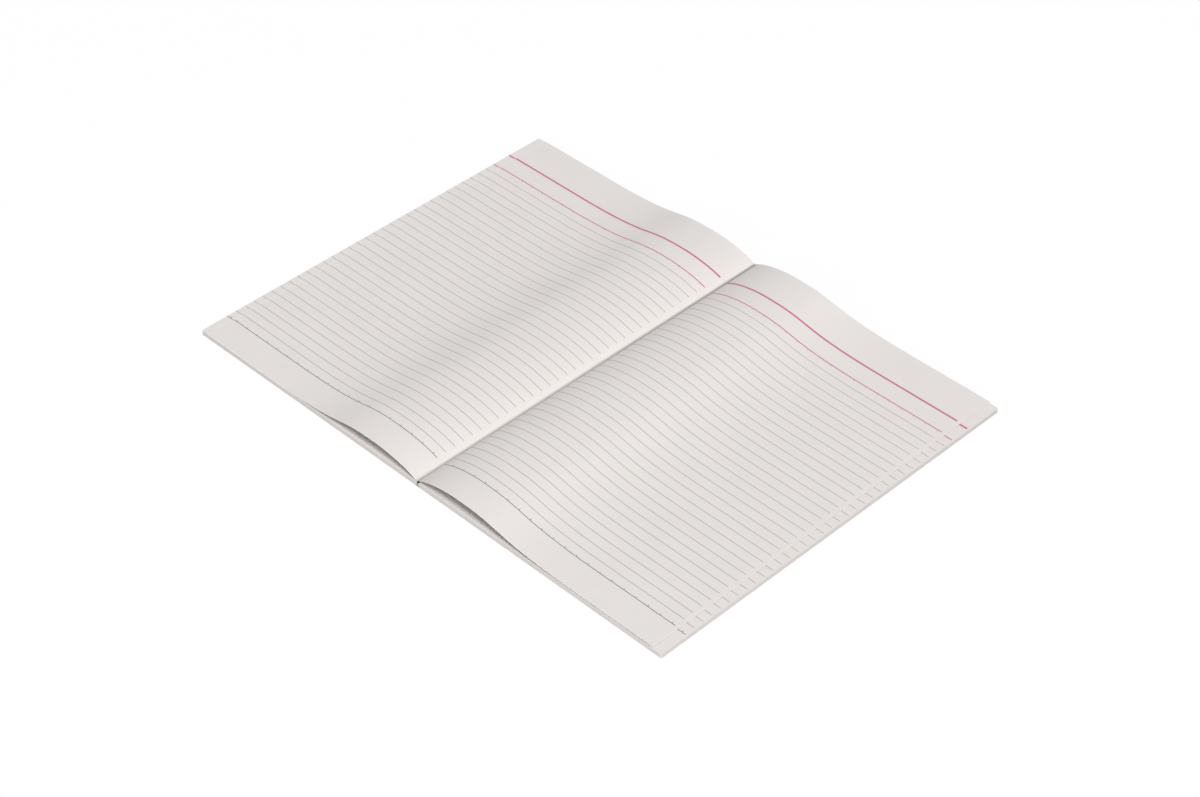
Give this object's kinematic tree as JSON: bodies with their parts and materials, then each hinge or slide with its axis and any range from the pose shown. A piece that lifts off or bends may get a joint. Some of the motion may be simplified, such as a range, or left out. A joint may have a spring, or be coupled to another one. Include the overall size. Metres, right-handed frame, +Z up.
{
  "type": "open composition notebook",
  "caption": "Soft-covered ruled notebook lying open at the middle; its halves close about the gutter and its card covers swing on the spine.",
  "frame": {"origin": "on the table under the middle of the gutter, halfway between foot and head of the page", "axes": "+X over the right-hand page, +Y from the foot to the head of the page, +Z up"},
  "size_m": [0.4044, 0.2974, 0.0122],
  "materials": {
    "page_paper": "matte",
    "cover_card": "matte",
    "spine_paper": "matte",
    "dry_glue": "satin"
  },
  "bodies": {
    "right_half": {"right_pages": "page_paper", "right_leaf": "page_paper"},
    "left_half": {"left_pages": "page_paper", "left_leaf": "page_paper"},
    "spine": {"spine_strip": "spine_paper", "glue_line": "dry_glue"},
    "front_cover": {"front_cover": "cover_card"},
    "back_cover": {"back_cover": "cover_card"}
  },
  "joints": [
    {"name": "spine_fold", "type": "hinge", "parent": "right_half", "child": "spine", "pos_m": [0.00161, 0, 0.00174], "axis": [0, 1, 0], "range_deg": [0, 90], "deforming": ["left_leaf", "right_leaf"]},
    {"name": "left_fold", "type": "hinge", "parent": "spine", "child": "left_half", "pos_m": [-0.00161, 0, 0.00174], "axis": [0, 1, 0], "range_deg": [0, 90]},
    {"name": "front_cover_fold", "type": "hinge", "parent": "left_half", "child": "front_cover", "pos_m": [-0.0031, 0, -0.0001], "axis": [0, -1, 0], "range_deg": [0, 180]},
    {"name": "back_cover_fold", "type": "hinge", "parent": "right_half", "child": "back_cover", "pos_m": [0.0031, 0, -0.0006], "axis": [0, 1, 0], "range_deg": [0, 180]}
  ],
  "couplings": [
    {"joint": "left_fold", "follows": "spine_fold", "ratio": 1}
  ]
}
